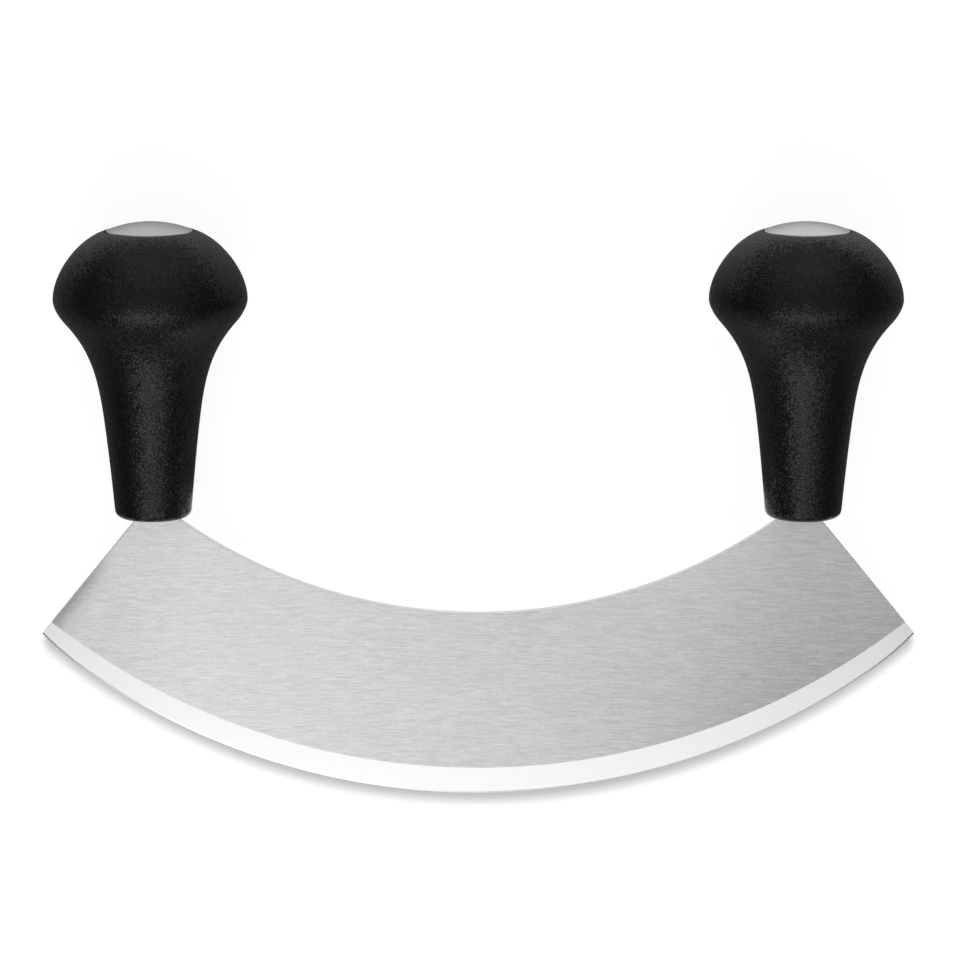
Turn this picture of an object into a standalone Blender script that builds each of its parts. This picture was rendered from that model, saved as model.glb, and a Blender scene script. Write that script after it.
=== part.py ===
"""Mincing knife: one crescent blade rocked by two knob grips.

The knife is built upright in its own plane, with x along the chord of the blade, y through its thickness and z from
the lowest point of the cutting edge up to the grips. One empty then lays it down as it rests on a table: on both
knobs and the middle of the cutting edge. Lengths are metres.
"""

import math

import bmesh
import bpy
from mathutils import Vector
from mathutils.geometry import interpolate_bezier

# Fits shared by all pieces
FIT_GAP = 0.0003  # clearance between pieces that seat on, in or round each other
CUT_OVERRUN = 0.002  # how far a cutter runs past what it cuts
MERGE_DISTANCE = 0.000001  # points of a turned outline that meet on the axis

# Blade: stamped plate with a ground and honed edge
BLADE_CHORD = 0.230  # from tip to tip
BLADE_THICKNESS = 0.002
EDGE_RADIUS = 0.1775  # the rocking curve of the cutting edge
TIP_TURN_REACH = 0.011  # chord length at each end over which the edge turns up faster
TIP_TURN_RADIUS = 0.075
GRIND_RADIUS = 0.1794  # upper limit of the ground bevel, not concentric with the edge
GRIND_HEIGHT = 0.0071  # of the bevel in the middle of the blade
HONE_WIDTH = 0.0005  # second, steeper bevel along the edge
HONE_THICKNESS = 0.0005  # left where the second bevel starts
EDGE_LAND = 0.0001  # left at the cutting edge itself
SPINE_RADIUS = 0.1345  # concave back
SPINE_HEIGHT = 0.0489  # lowest point of the back above the cutting edge
END_CUT_ANGLE = math.radians(39.3)  # of the straight ends, from upright

# Tangs: strips that rise from the horns of the blade through the grips
TANG_WIDTH = 0.008
THREAD_WIDTH = 0.0074  # the strip is narrower where its edges carry the thread
TANG_FILLET = 0.001
TANG_CHAMFER = 0.0008
TANG_PROUD = 0.0015  # of the nut

# Grips: turned outline, measured from the middle of the base
GRIP_SPACING = 0.1704  # between the two axes
BASE_FILLET = 0.0022
NECK_RADIUS = 0.0101  # at the base
NECK_SLOPE = math.radians(5.0)  # slopes are measured from the axis, positive outwards
NECK_PULL = 0.0087  # pulls are the lengths of the curve's handles
WAIST_RADIUS = 0.0129
WAIST_HEIGHT = 0.0286
WAIST_SLOPE = math.radians(8.0)
WAIST_PULL_DOWN = 0.0076
WAIST_PULL_UP = 0.0109
FLARE_RADIUS = 0.0226
FLARE_HEIGHT = 0.0519
FLARE_SLOPE = math.radians(42.0)
FLARE_PULL_DOWN = 0.0087
FLARE_PULL_UP = 0.0012
BULGE_RADIUS = 0.02535
BULGE_HEIGHT = 0.0576
BULGE_PULL_DOWN = 0.0022
BULGE_PULL_UP = 0.0066
CROWN_HEIGHT = 0.07535  # top of the lip round the cap
CROWN_SLOPE = math.radians(-73.0)
CROWN_PULL = 0.0074
LIP_ROUND = 0.0003
RECESS_DEPTH = 0.0011  # the cap sits in it
COUNTERBORE_RADIUS = 0.0095  # room for the socket that turns the nut
SEAT_HEIGHT = 0.033  # floor of the counterbore above the base
GROOVE_DEPTH = 0.0006  # the bead of the cap snaps into it

# Caps: domed steel discs with a skirt that snaps into the counterbore
CAP_RADIUS = 0.0112
CAP_RIM = 0.00075  # upright side of the disc
CAP_RIM_ROUND = 0.00025
CAP_RISE = 0.0021  # of the dome above its rim
CAP_SHEET = 0.0009
SKIRT_DEPTH = 0.0055
BEAD_HEIGHT = 0.0014
BEAD_REACH = 0.0005

# Fasteners on each tang
WASHER_RADIUS = 0.008
WASHER_THICKNESS = 0.0016
LOCK_WASHER_RADIUS = 0.0074
LOCK_WASHER_THICKNESS = 0.002
LOCK_WASHER_SLIT = 0.0012
NUT_ACROSS_FLATS = 0.013
NUT_HEIGHT = 0.0065
NUT_CHAMFER_SLOPE = math.radians(30.0)

# Fineness of the curves, in counts
EDGE_STEPS = 60
SPINE_STEPS = 40
FILLET_STEPS = 4
TURN_STEPS = 40
NECK_POINTS = 6
FLARE_POINTS = 8
UNDERSIDE_POINTS = 5
CROWN_POINTS = 11
DOME_POINTS = 7
SMOOTH_ANGLE = math.radians(25.0)

# Places that follow from the sizes above
HALF_CHORD = BLADE_CHORD / 2
HALF_PLATE = BLADE_THICKNESS / 2
HALF_TANG = TANG_WIDTH / 2
HALF_THREAD = THREAD_WIDTH / 2
GRIP_AXIS = GRIP_SPACING / 2
BORE_RADIUS = math.hypot(HALF_THREAD, HALF_PLATE) + FIT_GAP
WASHER_HEIGHT = SEAT_HEIGHT + FIT_GAP
LOCK_WASHER_HEIGHT = WASHER_HEIGHT + WASHER_THICKNESS + FIT_GAP
NUT_SEAT_HEIGHT = LOCK_WASHER_HEIGHT + LOCK_WASHER_THICKNESS + FIT_GAP
TANG_TOP = NUT_SEAT_HEIGHT + NUT_HEIGHT + TANG_PROUD
RECESS_FLOOR = CROWN_HEIGHT - RECESS_DEPTH
CAP_SEAT_HEIGHT = RECESS_FLOOR + FIT_GAP
SKIRT_RADIUS = COUNTERBORE_RADIUS - FIT_GAP
BEAD_MIDDLE = SKIRT_DEPTH - BEAD_HEIGHT  # below the cap's seat


def arc_point(radius, centre_height, angle):
    """Point of a circle in the plane of the blade, at an angle from straight down."""
    return Vector((radius * math.sin(angle), centre_height - radius * math.cos(angle)))


def edge_point(share):
    """Point of the cutting edge; the share runs from -1 at the left tip to 1 at the right tip."""
    turn_angle = math.asin((HALF_CHORD - TIP_TURN_REACH) / EDGE_RADIUS)
    turn_start = arc_point(EDGE_RADIUS, EDGE_RADIUS, turn_angle)
    turn_centre = turn_start - arc_point(TIP_TURN_RADIUS, 0, turn_angle)
    tip_angle = math.asin((HALF_CHORD - turn_centre.x) / TIP_TURN_RADIUS)
    main_length = EDGE_RADIUS * turn_angle
    travel = abs(share) * (main_length + TIP_TURN_RADIUS * (tip_angle - turn_angle))
    if travel <= main_length:
        point = arc_point(EDGE_RADIUS, EDGE_RADIUS, travel / EDGE_RADIUS)
    else:
        angle = turn_angle + (travel - main_length) / TIP_TURN_RADIUS
        point = turn_centre + arc_point(TIP_TURN_RADIUS, 0, angle)
    return Vector((math.copysign(point.x, share), point.y))


def end_cut_point(distance):
    """Point of the right end cut, at a distance from the tip."""
    return edge_point(1) + distance * Vector((-math.sin(END_CUT_ANGLE), math.cos(END_CUT_ANGLE)))


def grind_point(share):
    """Point of the line where the bevel starts, from one end cut to the other."""
    centre = Vector((0, GRIND_HEIGHT + GRIND_RADIUS))
    from_centre = edge_point(1) - centre
    along = from_centre.dot(end_cut_point(1) - end_cut_point(0))
    distance = -along - math.sqrt(along**2 - from_centre.length_squared + GRIND_RADIUS**2)
    end_angle = math.asin(end_cut_point(distance).x / GRIND_RADIUS)
    return arc_point(GRIND_RADIUS, centre.y, share * end_angle)


def spine_point(x):
    """Point of the concave back at a place along the chord."""
    return arc_point(SPINE_RADIUS, SPINE_HEIGHT + SPINE_RADIUS, math.asin(x / SPINE_RADIUS))


def spine_reach(height):
    """How far from the middle the back of the blade lies at a height."""
    drop = SPINE_HEIGHT + SPINE_RADIUS - height
    return math.sqrt(max(0, SPINE_RADIUS**2 - drop**2))


def base_height():
    """Height of the grips' base: where the end cut runs into the outer side of the tang."""
    return edge_point(1).y + (HALF_CHORD - GRIP_AXIS - HALF_TANG) / math.tan(END_CUT_ANGLE)


def arc_points(centre, start, finish):
    """Points of the arc round a centre from one of its radii, a vector, to another."""
    shares = [step / FILLET_STEPS for step in range(FILLET_STEPS + 1)]
    return [centre + start.length * start.slerp(finish, share) for share in shares]


def fillet(before, corner, after, radius):
    """Points of an arc that rounds a corner between two straight runs."""
    inward = (before - corner).normalized()
    outward = (after - corner).normalized()
    half = inward.angle(outward) / 2
    centre = corner + (inward + outward).normalized() * radius / math.sin(half)
    start = corner + inward * radius / math.tan(half) - centre
    finish = corner + outward * radius / math.tan(half) - centre
    return arc_points(centre, start, finish)


def horn_outline():
    """Outline of the right horn and its tang, from the end cut round to the back of the blade."""
    base = base_height()
    inner = GRIP_AXIS - HALF_TANG
    outer = GRIP_AXIS + HALF_TANG
    shoulder = base + SEAT_HEIGHT - FIT_GAP
    top = base + TANG_TOP
    outer_corner = Vector((outer, base))
    inner_corner = spine_point(inner)
    tang = [
        Vector((outer, shoulder)),
        Vector((GRIP_AXIS + HALF_THREAD, shoulder)),
        Vector((GRIP_AXIS + HALF_THREAD, top - TANG_CHAMFER)),
        Vector((GRIP_AXIS + HALF_THREAD - TANG_CHAMFER, top)),
        Vector((GRIP_AXIS - HALF_THREAD + TANG_CHAMFER, top)),
        Vector((GRIP_AXIS - HALF_THREAD, top - TANG_CHAMFER)),
        Vector((GRIP_AXIS - HALF_THREAD, shoulder)),
        Vector((inner, shoulder)),
    ]
    outer_round = fillet(edge_point(1), outer_corner, tang[0], TANG_FILLET)
    inner_round = fillet(tang[-1], inner_corner, spine_point(inner - TANG_FILLET), TANG_FILLET)
    return outer_round + tang + inner_round


def back_outline():
    """The whole outline above the bevel, from the right end cut to the left one."""
    right = horn_outline()
    last = right[-1].x
    spine = [spine_point(last * (1 - 2 * step / SPINE_STEPS)) for step in range(1, SPINE_STEPS)]
    left = [Vector((-point.x, point.y)) for point in reversed(right)]
    return right + spine + left


def rail(mesh, points, y):
    """Adds a row of points of the blade at one depth."""
    return [mesh.verts.new((point.x, y, point.y)) for point in points]


def join_rails(mesh, first, second):
    """Adds the strip of faces between two rows of points."""
    for step in range(len(first) - 1):
        mesh.faces.new((first[step], second[step], second[step + 1], first[step + 1]))


def blade_mesh():
    """Plate whose bevels run between the grind line, the honed shoulder and the cutting edge."""
    shares = [2 * step / EDGE_STEPS - 1 for step in range(EDGE_STEPS + 1)]
    edge = [edge_point(share) for share in shares]
    grind = [grind_point(share) for share in shares]
    hone = [low + (high - low).normalized() * HONE_WIDTH for low, high in zip(edge, grind)]
    back = back_outline()

    mesh = bmesh.new()
    rails = [
        rail(mesh, grind, -HALF_PLATE),
        rail(mesh, hone, -HONE_THICKNESS / 2),
        rail(mesh, edge, -EDGE_LAND / 2),
        rail(mesh, edge, EDGE_LAND / 2),
        rail(mesh, hone, HONE_THICKNESS / 2),
        rail(mesh, grind, HALF_PLATE),
    ]
    for first, second in zip(rails, rails[1:]):
        join_rails(mesh, first, second)
    near_back = rail(mesh, back, -HALF_PLATE)
    far_back = rail(mesh, back, HALF_PLATE)
    mesh.faces.new(rails[0] + near_back)
    mesh.faces.new(rails[-1] + far_back)
    near_loop = [rails[0][-1]] + near_back + [rails[0][0]]
    far_loop = [rails[-1][-1]] + far_back + [rails[-1][0]]
    join_rails(mesh, near_loop, far_loop)
    mesh.faces.new([row[0] for row in rails])
    mesh.faces.new([row[-1] for row in rails])
    return finished_mesh(mesh, "blade")


def curve_points(start, start_slope, start_pull, end, end_slope, end_pull, count):
    """Points of one smooth stretch of a turned outline, from its start up to its end."""
    leave = Vector((math.sin(start_slope), math.cos(start_slope))) * start_pull
    arrive = Vector((math.sin(end_slope), math.cos(end_slope))) * end_pull
    return interpolate_bezier(start, start + leave, end - arrive, end, count)


def grip_skin():
    """Outer side of the grip's outline, as radius and height, from the base to the lip round the cap."""
    neck = Vector((NECK_RADIUS, BASE_FILLET))
    waist = Vector((WAIST_RADIUS, WAIST_HEIGHT))
    flare = Vector((FLARE_RADIUS, FLARE_HEIGHT))
    bulge = Vector((BULGE_RADIUS, BULGE_HEIGHT))
    recess_radius = CAP_RADIUS + FIT_GAP
    crown = Vector((recess_radius + LIP_ROUND, CROWN_HEIGHT))
    base_centre = Vector((NECK_RADIUS - BASE_FILLET, BASE_FILLET))
    lip_centre = Vector((recess_radius + LIP_ROUND, CROWN_HEIGHT - LIP_ROUND))
    skin = arc_points(base_centre, Vector((0, -BASE_FILLET)), Vector((BASE_FILLET, 0)))
    skin += curve_points(neck, NECK_SLOPE, NECK_PULL, waist, WAIST_SLOPE, WAIST_PULL_DOWN, NECK_POINTS)[1:]
    skin += curve_points(waist, WAIST_SLOPE, WAIST_PULL_UP, flare, FLARE_SLOPE, FLARE_PULL_DOWN, FLARE_POINTS)[1:]
    skin += curve_points(flare, FLARE_SLOPE, FLARE_PULL_UP, bulge, 0, BULGE_PULL_DOWN, UNDERSIDE_POINTS)[1:]
    skin += curve_points(bulge, 0, BULGE_PULL_UP, crown, CROWN_SLOPE, CROWN_PULL, CROWN_POINTS)[1:]
    skin += arc_points(lip_centre, Vector((0, LIP_ROUND)), Vector((-LIP_ROUND, 0)))[1:]
    return skin


def grip_outline():
    """Closed half outline of the grip with its recess, snap groove and counterbore."""
    groove = CAP_SEAT_HEIGHT - BEAD_MIDDLE
    groove_half = BEAD_HEIGHT / 2 + FIT_GAP
    groove_radius = COUNTERBORE_RADIUS + GROOVE_DEPTH
    inside = [
        Vector((CAP_RADIUS + FIT_GAP, RECESS_FLOOR)),
        Vector((COUNTERBORE_RADIUS, RECESS_FLOOR)),
        Vector((COUNTERBORE_RADIUS, groove + groove_half)),
        Vector((groove_radius, groove + groove_half - GROOVE_DEPTH)),
        Vector((groove_radius, groove - groove_half + GROOVE_DEPTH)),
        Vector((COUNTERBORE_RADIUS, groove - groove_half)),
        Vector((COUNTERBORE_RADIUS, SEAT_HEIGHT)),
        Vector((0, SEAT_HEIGHT)),
    ]
    return [Vector((0, 0))] + grip_skin() + inside


def cap_dome():
    """Outer side of the cap above its seat, as radius and height, from the rim to the middle."""
    edge_radius = CAP_RADIUS - CAP_RIM_ROUND
    sphere = (edge_radius**2 + CAP_RISE**2) / (2 * CAP_RISE)
    edge_height = CAP_RIM + CAP_RIM_ROUND
    edge_angle = math.asin(edge_radius / sphere)
    top = edge_height + CAP_RISE - sphere
    dome = []
    for step in range(DOME_POINTS):
        angle = edge_angle * (1 - step / (DOME_POINTS - 1))
        dome.append(Vector((sphere * math.sin(angle), top + sphere * math.cos(angle))))
    return [Vector((CAP_RADIUS, 0)), Vector((CAP_RADIUS, CAP_RIM))] + dome


def cap_outline():
    """Closed half outline of the domed cap, its skirt and the bead that snaps into the grip."""
    skirt_inside = SKIRT_RADIUS - CAP_SHEET
    bead_radius = SKIRT_RADIUS + BEAD_REACH
    half_bead = BEAD_HEIGHT / 2
    outside = cap_dome()
    dome_top = outside[-1].y
    inside = [
        Vector((0, dome_top - CAP_SHEET)),
        Vector((skirt_inside / 2, dome_top - CAP_SHEET - CAP_RISE / 4)),
        Vector((skirt_inside, CAP_RIM + CAP_RIM_ROUND - CAP_SHEET)),
        Vector((skirt_inside, -SKIRT_DEPTH)),
        Vector((SKIRT_RADIUS, -SKIRT_DEPTH)),
        Vector((SKIRT_RADIUS, -BEAD_MIDDLE - half_bead)),
        Vector((bead_radius, -BEAD_MIDDLE - half_bead + BEAD_REACH)),
        Vector((bead_radius, -BEAD_MIDDLE + half_bead - BEAD_REACH)),
        Vector((SKIRT_RADIUS, -BEAD_MIDDLE + half_bead)),
        Vector((SKIRT_RADIUS, 0)),
    ]
    return outside + inside


def ring_outline(radius, thickness):
    """Closed half outline of a flat ring on the tang."""
    return [
        Vector((BORE_RADIUS, 0)),
        Vector((radius, 0)),
        Vector((radius, thickness)),
        Vector((BORE_RADIUS, thickness)),
    ]


def nut_outline():
    """Closed half outline of the turned nut blank, chamfered at both ends."""
    corner = NUT_ACROSS_FLATS / math.sqrt(3)
    face = NUT_ACROSS_FLATS / 2
    drop = (corner - face) * math.tan(NUT_CHAMFER_SLOPE)
    return [
        Vector((BORE_RADIUS, 0)),
        Vector((face, 0)),
        Vector((corner, drop)),
        Vector((corner, NUT_HEIGHT - drop)),
        Vector((face, NUT_HEIGHT)),
        Vector((BORE_RADIUS, NUT_HEIGHT)),
    ]


def finished_mesh(mesh, name):
    """Turns the faces outwards and gives the round ones smooth shading."""
    bmesh.ops.recalc_face_normals(mesh, faces=mesh.faces)
    data = bpy.data.meshes.new(name)
    mesh.to_mesh(data)
    mesh.free()
    data.shade_smooth()
    data.set_sharp_from_angle(angle=SMOOTH_ANGLE)
    return data


def turned_mesh(name, outline):
    """Turns a half outline, given as radius and height, about the vertical axis."""
    mesh = bmesh.new()
    ring = [mesh.verts.new((point.x, 0, point.y)) for point in outline]
    for step, vert in enumerate(ring):
        following = ring[(step + 1) % len(ring)]
        if vert.co.x > 0 or following.co.x > 0:
            mesh.edges.new((vert, following))
    bmesh.ops.spin(
        mesh,
        geom=mesh.verts[:] + mesh.edges[:],
        cent=(0, 0, 0),
        axis=(0, 0, 1),
        angle=math.tau,
        steps=TURN_STEPS,
        use_merge=True,
        use_duplicate=False,
    )
    bmesh.ops.remove_doubles(mesh, verts=mesh.verts, dist=MERGE_DISTANCE)
    return finished_mesh(mesh, name)


def prism_mesh(name, outline, direction):
    """Extrudes a closed outline of 3D points along a direction."""
    mesh = bmesh.new()
    face = mesh.faces.new([mesh.verts.new(point) for point in outline])
    extruded = bmesh.ops.extrude_face_region(mesh, geom=[face])
    moved = [item for item in extruded["geom"] if isinstance(item, bmesh.types.BMVert)]
    bmesh.ops.translate(mesh, verts=moved, vec=direction)
    return finished_mesh(mesh, name)


def slot_mesh():
    """Cutter for the passage of the horn and tang through the right grip, from below its base."""
    base = base_height()
    half_slot = HALF_TANG + FIT_GAP
    mouth_reach = max(HALF_TANG, GRIP_AXIS - spine_reach(base)) + FIT_GAP
    junction = spine_point(GRIP_AXIS - HALF_TANG).y - base
    mouth_height = max(0, junction) + TANG_FILLET + FIT_GAP
    outline = [
        (half_slot + FIT_GAP, -CUT_OVERRUN),
        (half_slot + FIT_GAP, TANG_FILLET),
        (half_slot, TANG_FILLET + FIT_GAP),
        (half_slot, SEAT_HEIGHT + CUT_OVERRUN),
        (-half_slot, SEAT_HEIGHT + CUT_OVERRUN),
        (-half_slot, mouth_height),
        (-mouth_reach, mouth_height),
        (-mouth_reach, -CUT_OVERRUN),
    ]
    half_slot_depth = HALF_PLATE + FIT_GAP
    points = [Vector((x, -half_slot_depth, z)) for x, z in outline]
    return prism_mesh("tang_slot", points, Vector((0, 2 * half_slot_depth, 0)))


def hexagon_mesh():
    """Cutter that gives the turned blank of the nut its six flats."""
    corner = NUT_ACROSS_FLATS / math.sqrt(3)
    points = []
    for step in range(6):
        angle = math.tau * step / 6
        points.append(Vector((corner * math.cos(angle), corner * math.sin(angle), -CUT_OVERRUN)))
    return prism_mesh("nut_flats", points, Vector((0, 0, NUT_HEIGHT + 2 * CUT_OVERRUN)))


def slit_mesh():
    """Cutter for the slit of the lock washer."""
    half_slit = LOCK_WASHER_SLIT / 2
    reach = LOCK_WASHER_RADIUS + CUT_OVERRUN
    points = [
        Vector((0, -half_slit, -CUT_OVERRUN)),
        Vector((reach, -half_slit, -CUT_OVERRUN)),
        Vector((reach, half_slit, -CUT_OVERRUN)),
        Vector((0, half_slit, -CUT_OVERRUN)),
    ]
    return prism_mesh("washer_slit", points, Vector((0, 0, LOCK_WASHER_THICKNESS + 2 * CUT_OVERRUN)))


def make_material(name, colour, metallic, roughness):
    """Principled material of one kind of piece."""
    material = bpy.data.materials.new(name)
    material.use_nodes = True
    shader = material.node_tree.nodes["Principled BSDF"]
    shader.inputs["Base Color"].default_value = (*colour, 1)
    shader.inputs["Metallic"].default_value = metallic
    shader.inputs["Roughness"].default_value = roughness
    return material


def add_object(name, data, parent, height=0):
    """Links an object on its parent's axis."""
    made = bpy.data.objects.new(name, data)
    bpy.context.scene.collection.objects.link(made)
    made.parent = parent
    made.location = (0, 0, height)
    return made


def cut_object(target, cutter_data, operation):
    """Cuts a piece with a hidden wire cutter that is carried by the piece."""
    cutter = add_object(f"{target.name}_{cutter_data.name}", cutter_data, target)
    cutter.hide_render = True
    cutter.display_type = "WIRE"
    cut = target.modifiers.new(cutter_data.name, "BOOLEAN")
    cut.operation = operation
    cut.object = cutter


def resting_pose():
    """Tilt, lift and shift that lay the knife on both knobs and the middle of its edge.

    The section of the blade at its middle and the skin of the knob touch the table together: of the lines that
    clear the knob from each corner of the blade's section, the table is the one with the smallest slope.
    """
    base = base_height()
    knob = [(point.x, base + point.y) for point in grip_skin()]
    cap = [(point.x, base + CAP_SEAT_HEIGHT + point.y) for point in cap_dome()]
    blade = [(EDGE_LAND / 2, 0), (HONE_THICKNESS / 2, HONE_WIDTH), (HALF_PLATE, GRIND_HEIGHT)]
    slope, corner = min((max((r - y) / (z - low) for r, z in knob), (y, low)) for y, low in blade)
    tilt = math.atan(slope)
    lift = corner[0] * math.cos(tilt) - corner[1] * math.sin(tilt)
    nearest = min(low * math.cos(tilt) - y * math.sin(tilt) for y, low in blade)
    farthest = max(z * math.cos(tilt) + r * math.sin(tilt) for r, z in knob + cap)
    return tilt, lift, -(nearest + farthest) / 2


def build():
    """Makes every piece and lays the knife down."""
    for old in list(bpy.data.objects):
        bpy.data.objects.remove(old)

    brushed_steel = make_material("brushed_blade_steel", (0.62, 0.62, 0.61), 1, 0.32)
    black_plastic = make_material("black_moulded_plastic", (0.012, 0.012, 0.013), 0, 0.5)
    satin_steel = make_material("satin_cap_steel", (0.55, 0.55, 0.54), 1, 0.3)
    plain_steel = make_material("plain_fastener_steel", (0.5, 0.5, 0.5), 1, 0.4)

    tilt, lift, shift = resting_pose()
    knife = add_object("knife", None, None)
    knife.rotation_euler = (tilt - math.pi / 2, 0, 0)
    knife.location = (0, shift, lift)

    blade = blade_mesh()
    blade.materials.append(brushed_steel)
    add_object("blade", blade, knife)

    grip = turned_mesh("grip", grip_outline())
    grip.materials.append(black_plastic)
    cap = turned_mesh("cap", cap_outline())
    cap.materials.append(satin_steel)
    washer = turned_mesh("washer", ring_outline(WASHER_RADIUS, WASHER_THICKNESS))
    lock_washer = turned_mesh("lock_washer", ring_outline(LOCK_WASHER_RADIUS, LOCK_WASHER_THICKNESS))
    nut = turned_mesh("nut", nut_outline())
    for data in (washer, lock_washer, nut):
        data.materials.append(plain_steel)
    slot = slot_mesh()
    slit = slit_mesh()
    hexagon = hexagon_mesh()

    for side, place, turn in (("left", -GRIP_AXIS, math.pi), ("right", GRIP_AXIS, 0)):
        axis = add_object(f"{side}_handle", None, knife)
        axis.location = (place, 0, base_height())
        axis.rotation_euler = (0, 0, turn)
        cut_object(add_object(f"{side}_grip", grip, axis), slot, "DIFFERENCE")
        add_object(f"{side}_cap", cap, axis, CAP_SEAT_HEIGHT)
        add_object(f"{side}_washer", washer, axis, WASHER_HEIGHT)
        cut_object(add_object(f"{side}_lock_washer", lock_washer, axis, LOCK_WASHER_HEIGHT), slit, "DIFFERENCE")
        cut_object(add_object(f"{side}_nut", nut, axis, NUT_SEAT_HEIGHT), hexagon, "INTERSECT")


build()
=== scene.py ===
"""Dresses a mincing knife: a crescent steel blade that is rocked by two black knob grips.

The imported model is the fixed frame. The blade, the grips and their caps get finer meshes that stand where
their solids stand, and the fasteners inside the grips keep their solids. Lengths are metres and +Z is up
from the table. The knife lies on both knobs and the middle of its cutting edge, and is seen from straight
above.
"""

import logging
import math
from abc import ABC, abstractmethod
from dataclasses import dataclass, field
from enum import Enum
from functools import partial, reduce
from typing import ClassVar

import bmesh
import bpy
from mathutils import Matrix, Vector
from mathutils.geometry import interpolate_bezier


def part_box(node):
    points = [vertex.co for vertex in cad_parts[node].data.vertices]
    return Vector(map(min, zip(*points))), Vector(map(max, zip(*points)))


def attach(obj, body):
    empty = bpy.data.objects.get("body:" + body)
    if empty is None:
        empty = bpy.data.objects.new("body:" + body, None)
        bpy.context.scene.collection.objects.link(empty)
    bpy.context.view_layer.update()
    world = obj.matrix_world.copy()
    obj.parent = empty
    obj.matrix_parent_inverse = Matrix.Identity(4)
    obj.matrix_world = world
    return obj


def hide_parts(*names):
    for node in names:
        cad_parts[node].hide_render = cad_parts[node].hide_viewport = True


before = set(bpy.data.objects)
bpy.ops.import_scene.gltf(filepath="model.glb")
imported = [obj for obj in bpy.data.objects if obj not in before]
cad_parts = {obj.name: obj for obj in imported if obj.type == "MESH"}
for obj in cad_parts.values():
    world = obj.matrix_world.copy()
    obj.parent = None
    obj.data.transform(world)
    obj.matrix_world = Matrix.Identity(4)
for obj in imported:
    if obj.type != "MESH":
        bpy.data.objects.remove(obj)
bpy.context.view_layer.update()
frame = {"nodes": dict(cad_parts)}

LOG = logging.getLogger("mincing_knife")
BODY = "root"
FIT_GAP = 0.0003  # clearance between pieces that seat on, in or round each other
OVERRUN = 0.002  # how far a cutter runs past what it cuts
GRAIN_MAP = "grain"  # UV map whose U runs along the grain
CRISP_ANGLE = math.radians(30)  # between faces that meet in a crisp edge on turned pieces
MERGE_DISTANCE = 0.000001  # points of a turned outline that meet on the axis

Triple = tuple[float, float, float]
Outline = list[Vector]
Socket = bpy.types.NodeSocket
Term = Socket | float | Triple  # what an input of a node takes


class Side(Enum):
    """The two ends of the knife; the value is the sign of its place along the chord."""

    LEFT = -1
    RIGHT = 1

    @property
    def word(self) -> str:
        """Name of the side as the nodes of the model have it."""
        return self.name.lower()


class Grain(Enum):
    """Which way the scratches of a steel finish run, in the frame of the knife."""

    ALONG_CHORD = (1, 0, 0)
    THROUGH_THICKNESS = (0, 1, 0)
    TOWARDS_GRIPS = (0, 0, 1)

    def stretch(self, length: float, width: float) -> Triple:
        """Scales of a noise's coordinates that draw it out to scratches of a length and width."""
        return tuple(1 / length if along else 1 / width for along in self.value)


@dataclass(frozen=True)
class Lie:
    """How the knife lies on the table, as a frame of its own.

    Its x runs along the chord, its y through the blade and its z towards the grips. Its origin is the lowest
    point of the cutting edge.
    """

    matrix: Matrix
    grip_axis: float  # place of the right grip's axis along the chord
    base_height: float  # of the grips' bases over the origin

    @classmethod
    def of_model(cls, nodes: dict[str, bpy.types.Object]) -> "Lie":
        """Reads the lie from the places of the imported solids.

        Args:
            nodes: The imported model's objects by name.

        Returns:
            The lie of the knife.
        """
        seat = cls._middle("right_washer")
        upward = (cls._middle("right_nut") - seat).normalized()
        across = Vector((1, 0, 0))
        through = upward.cross(across)
        lowest = cls._lowest(nodes["blade"], upward)
        base = cls._lowest(nodes["right_grip"], upward)
        origin = seat + (lowest - seat.dot(upward)) * upward
        turn = Matrix((across, through, upward)).transposed()
        place = Matrix.Translation((0, origin.y, origin.z)) @ turn.to_4x4()
        return cls(place, seat.x, base - lowest)

    @staticmethod
    def _middle(node: str) -> Vector:
        """Middle of a node's box, which lies on the axis of a turned piece."""
        low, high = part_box(node)
        return (low + high) / 2

    @staticmethod
    def _lowest(made: bpy.types.Object, upward: Vector) -> float:
        """How far along a direction an object begins."""
        return min(vertex.co.dot(upward) for vertex in made.data.vertices)

    def handle(self, side: Side) -> Matrix:
        """Frame of one grip, from the middle of its base; the left one is turned half round."""
        turn = Matrix.Rotation(math.pi if side is Side.LEFT else 0, 4, "Z")
        return self.matrix @ Matrix.Translation((side.value * self.grip_axis, 0, self.base_height)) @ turn


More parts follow.
